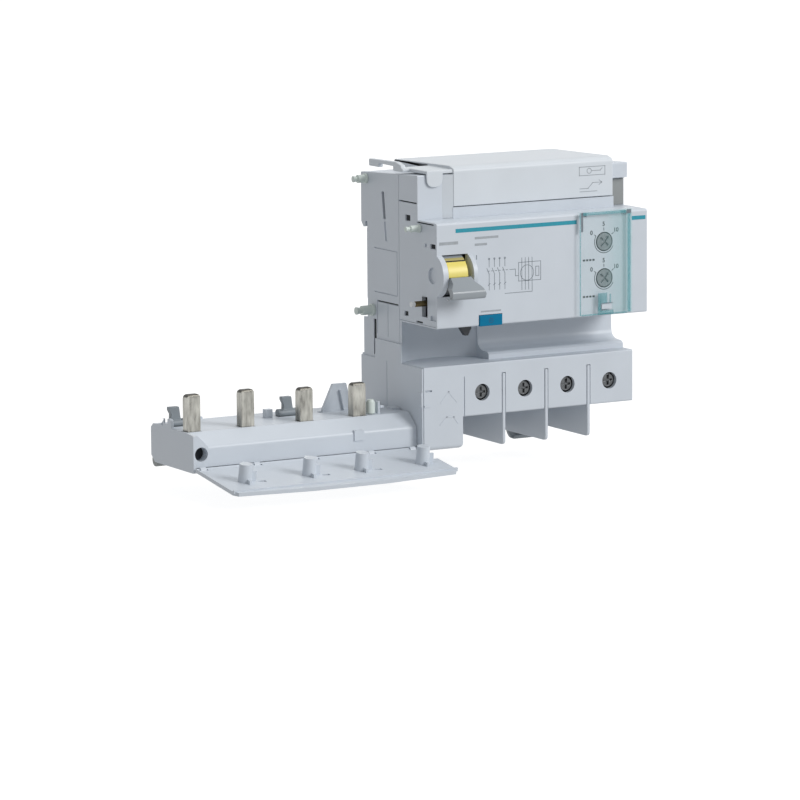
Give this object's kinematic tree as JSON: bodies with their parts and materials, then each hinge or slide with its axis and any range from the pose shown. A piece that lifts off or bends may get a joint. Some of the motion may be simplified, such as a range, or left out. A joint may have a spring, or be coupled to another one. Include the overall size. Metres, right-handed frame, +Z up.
{
  "type": "residual current device",
  "caption": "Add-on residual current block for a rail-mounted breaker: electronics block with toggle, settings and terminals, and a side arm with plug-in blades and a hinged cover.",
  "frame": {"origin": "middle of the main block on the face that sits against the mounting rail, at the height of the rail's centre line", "axes": "+X along the rail to the right as seen from the front, +Y towards the wall behind the rail, +Z up"},
  "size_m": [0.213, 0.0886, 0.1299],
  "materials": {
    "shell": "satin moulded",
    "peg": "satin moulded",
    "yellow": "satin moulded",
    "handle": "satin moulded",
    "steel": "zinc plated",
    "dark": "moulded",
    "brass": "dull",
    "white": "moulded",
    "blue": "moulded",
    "copper": "rolled strip",
    "grey": "moulded",
    "window": "clear tinted",
    "board": "solder mask",
    "insulation": "wire insulation",
    "tin": "tinned"
  },
  "bodies": {
    "base": {"rear_housing": "shell", "front_housing": "shell", "side_cover": "shell", "upper_cover": "shell", "phase_barrier_1": "shell", "phase_barrier_2": "shell", "phase_barrier_3": "shell", "link_base": "shell", "link_lid": "shell", "locating_peg_1": "peg", "locating_peg_2": "peg", "locating_peg_3": "peg", "locating_peg_4": "peg", "toggle_axle": "steel", "toggle_spring": "steel", "lever_pivot": "steel", "latch_spring_1": "steel", "latch_spring_2": "steel", "transformer_core": "steel", "trip_relay": "dark", "trimmer_delay": "dark", "trimmer_current": "dark", "transformer_case": "dark", "test_resistor": "brass", "capacitor": "blue", "test_contact": "copper", "setting_board": "board", "main_board": "board", "conductor_1": "insulation", "conductor_2": "insulation", "conductor_3": "insulation", "conductor_4": "insulation", "blade_1": "tin", "blade_2": "tin", "blade_3": "tin", "blade_4": "tin"},
    "toggle": {"toggle_drum": "yellow", "toggle_handle": "handle"},
    "trip_lever_body": {"trip_lever": "dark", "trip_pin": "brass", "trip_pin_tip": "white"},
    "plunger": {"relay_plunger": "white"},
    "test_button_body": {"test_button": "blue"},
    "delay_dial": {"dial_delay": "grey"},
    "current_dial": {"dial_current": "grey"},
    "window": {"setting_window": "window"},
    "latch_1": {"rail_latch_1": "grey"},
    "latch_2": {"rail_latch_2": "grey"},
    "cover": {"terminal_cover": "shell"},
    "clip_1": {"breaker_clip_1": "grey"},
    "clip_2": {"breaker_clip_2": "grey"},
    "screw_1": {"terminal_screw_1": "steel"},
    "cage_1": {"terminal_cage_1": "steel"},
    "screw_2": {"terminal_screw_2": "steel"},
    "cage_2": {"terminal_cage_2": "steel"},
    "screw_3": {"terminal_screw_3": "steel"},
    "cage_3": {"terminal_cage_3": "steel"},
    "screw_4": {"terminal_screw_4": "steel"},
    "cage_4": {"terminal_cage_4": "steel"}
  },
  "joints": [
    {"name": "toggle_turn", "type": "hinge", "parent": "base", "child": "toggle", "pos_m": [-0.0448, -0.0566, 0], "axis": [-1, 0, 0], "range_deg": [0, 62]},
    {"name": "relay_plunger_slide", "type": "slide", "parent": "base", "child": "plunger", "axis": [0, 0, -1], "range_m": [-0.00024, 0.00094], "stiffness_N_per_m": 400},
    {"name": "trip_lever_swing", "type": "hinge", "parent": "base", "child": "trip_lever_body", "pos_m": [-0.0473, -0.031, -0.0125], "axis": [1, 0, 0], "range_deg": [-3.2, 12.2]},
    {"name": "test_button_press", "type": "slide", "parent": "base", "child": "test_button_body", "axis": [0, 1, 0], "range_m": [0, 0.0015], "stiffness_N_per_m": 600, "springref_m": -0.0003},
    {"name": "delay_dial_turn", "type": "hinge", "parent": "base", "child": "delay_dial", "pos_m": [0.0307, -0.0595, 0.0096], "axis": [0, -1, 0], "range_deg": [-120, 120]},
    {"name": "current_dial_turn", "type": "hinge", "parent": "base", "child": "current_dial", "pos_m": [0.0307, -0.0595, -0.0062], "axis": [0, -1, 0], "range_deg": [-120, 120]},
    {"name": "window_flip", "type": "hinge", "parent": "base", "child": "window", "pos_m": [0.0305, -0.0594, 0.0214], "axis": [-1, 0, 0], "range_deg": [0, 88]},
    {"name": "rail_latch_1_pull", "type": "slide", "parent": "base", "child": "latch_1", "axis": [0, 0, -1], "range_m": [0, 0.004], "stiffness_N_per_m": 1500, "springref_m": -0.001, "deforming": ["latch_spring_1"]},
    {"name": "rail_latch_2_pull", "type": "slide", "parent": "base", "child": "latch_2", "axis": [0, 0, -1], "range_m": [0, 0.004], "stiffness_N_per_m": 1500, "springref_m": -0.001, "deforming": ["latch_spring_2"]},
    {"name": "terminal_cover_swing", "type": "hinge", "parent": "base", "child": "cover", "pos_m": [-0.107, -0.0456, -0.0756], "axis": [-1, 0, 0], "range_deg": [0, 98]},
    {"name": "breaker_clip_1_swing", "type": "hinge", "parent": "base", "child": "clip_1", "pos_m": [-0.1559, -0.018, -0.0594], "axis": [1, 0, 0], "range_deg": [-8, 8], "stiffness_Nm_per_rad": 0.02},
    {"name": "breaker_clip_2_swing", "type": "hinge", "parent": "base", "child": "clip_2", "pos_m": [-0.1023, -0.018, -0.0594], "axis": [1, 0, 0], "range_deg": [-8, 8], "stiffness_Nm_per_rad": 0.02},
    {"name": "terminal_cage_1_draw", "type": "slide", "parent": "base", "child": "cage_1", "axis": [0, -1, 0], "range_m": [0, 0.003]},
    {"name": "terminal_screw_1_turn", "type": "hinge", "parent": "base", "child": "screw_1", "pos_m": [-0.0236, -0.046, -0.0531], "axis": [0, -1, 0], "range_deg": [-5, 1085]},
    {"name": "terminal_cage_2_draw", "type": "slide", "parent": "base", "child": "cage_2", "axis": [0, -1, 0], "range_m": [0, 0.003]},
    {"name": "terminal_screw_2_turn", "type": "hinge", "parent": "base", "child": "screw_2", "pos_m": [-0.0022, -0.046, -0.0531], "axis": [0, -1, 0], "range_deg": [-5, 1085]},
    {"name": "terminal_cage_3_draw", "type": "slide", "parent": "base", "child": "cage_3", "axis": [0, -1, 0], "range_m": [0, 0.003]},
    {"name": "terminal_screw_3_turn", "type": "hinge", "parent": "base", "child": "screw_3", "pos_m": [0.0192, -0.046, -0.0531], "axis": [0, -1, 0], "range_deg": [-5, 1085]},
    {"name": "terminal_cage_4_draw", "type": "slide", "parent": "base", "child": "cage_4", "axis": [0, -1, 0], "range_m": [0, 0.003]},
    {"name": "terminal_screw_4_turn", "type": "hinge", "parent": "base", "child": "screw_4", "pos_m": [0.0406, -0.046, -0.0531], "axis": [0, -1, 0], "range_deg": [-5, 1085]}
  ],
  "couplings": [
    {"joint": "trip_lever_swing", "follows": "relay_plunger_slide", "rad_per_m": 222.22},
    {"joint": "terminal_screw_1_turn", "follows": "terminal_cage_1_draw", "rad_per_m": 6283.2},
    {"joint": "terminal_screw_2_turn", "follows": "terminal_cage_2_draw", "rad_per_m": 6283.2},
    {"joint": "terminal_screw_3_turn", "follows": "terminal_cage_3_draw", "rad_per_m": 6283.2},
    {"joint": "terminal_screw_4_turn", "follows": "terminal_cage_4_draw", "rad_per_m": 6283.2}
  ]
}
